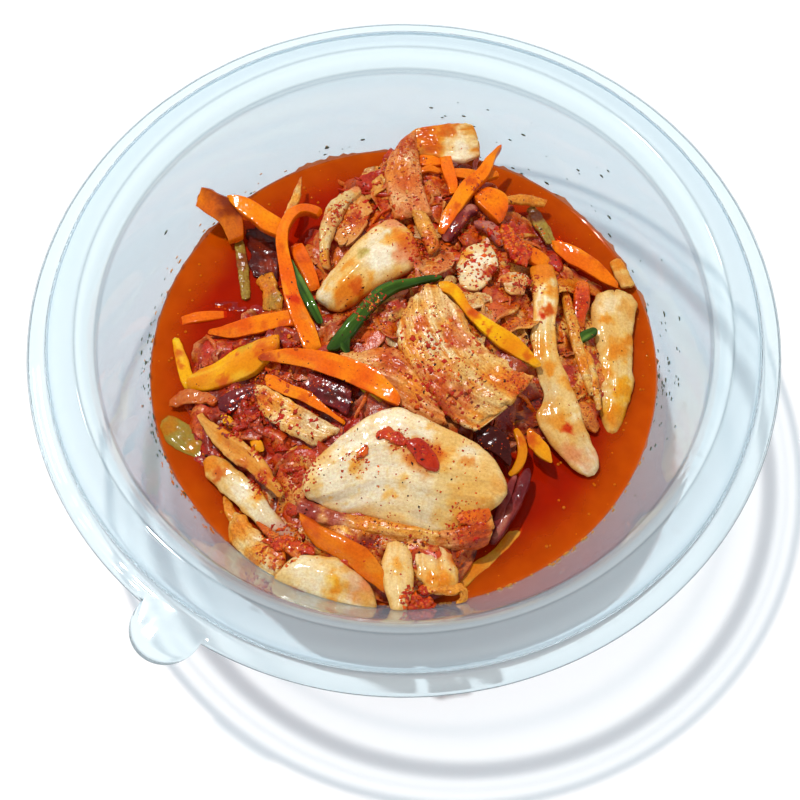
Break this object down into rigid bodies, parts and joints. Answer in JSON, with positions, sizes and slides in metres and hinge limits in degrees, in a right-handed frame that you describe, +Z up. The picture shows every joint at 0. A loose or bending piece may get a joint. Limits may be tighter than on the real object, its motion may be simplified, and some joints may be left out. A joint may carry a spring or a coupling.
{
  "type": "kimchi in a clear deli tub",
  "caption": "Kimchi heaped in red brine in a clear round deli tub with a stepped flange and a pull tab.",
  "frame": {"origin": "on the surface that the tub stands on, under the middle of the tub", "axes": "+Z up along the tub's axis; -Y towards the side it is looked at from; the pull tab is towards -X and -Y"},
  "size_m": [0.15, 0.15, 0.0473],
  "materials": {
    "tub": "clear thermoformed sheet, glossy",
    "brine": "wet red-orange liquid with chilli flakes",
    "kimchi_mix": "wet shredded leaves, onion and chilli paste",
    "cabbage_stem": "wet cream-white stem with orange stains and chilli specks",
    "cabbage_leaf": "wet ribbed tan leaf stained with chilli",
    "carrot": "wet orange cut",
    "pepper_yellow": "wet yellow cut",
    "pepper_red": "wet red cut",
    "scallion": "wet dark green leaf",
    "onion": "wet translucent purple and beige cut"
  },
  "bodies": {
    "root": {"bowl": "tub", "brine": "brine", "cabbage_leaf_back": "cabbage_leaf", "cabbage_leaf_folded": "cabbage_leaf", "cabbage_leaf_middle": "cabbage_leaf", "cabbage_piece_front": "cabbage_stem", "cabbage_piece_top": "cabbage_stem", "cabbage_stem_back": "cabbage_stem", "cabbage_stem_corner": "cabbage_stem", "cabbage_stem_front": "cabbage_stem", "cabbage_stem_left": "cabbage_stem", "cabbage_stem_long": "cabbage_stem", "cabbage_stem_right": "cabbage_stem", "cabbage_strip_beige": "cabbage_leaf", "cabbage_strip_front": "cabbage_stem", "cabbage_strip_left": "cabbage_stem", "carrot_back": "carrot", "carrot_behind": "carrot", "carrot_corner": "carrot", "carrot_left_high": "carrot", "carrot_left_low": "carrot", "carrot_long": "carrot", "carrot_loop": "carrot", "carrot_right": "carrot", "carrot_stub": "carrot", "carrot_thin": "carrot", "carrot_upper_left": "carrot", "carrot_wedge": "carrot", "heap": "kimchi_mix", "onion_arc": "onion", "onion_purple": "onion", "pepper_red_right": "pepper_red", "pepper_yellow_left": "pepper_yellow", "pepper_yellow_middle": "pepper_yellow", "scallion_long": "scallion", "scallion_short": "scallion"}
  },
  "joints": []
}
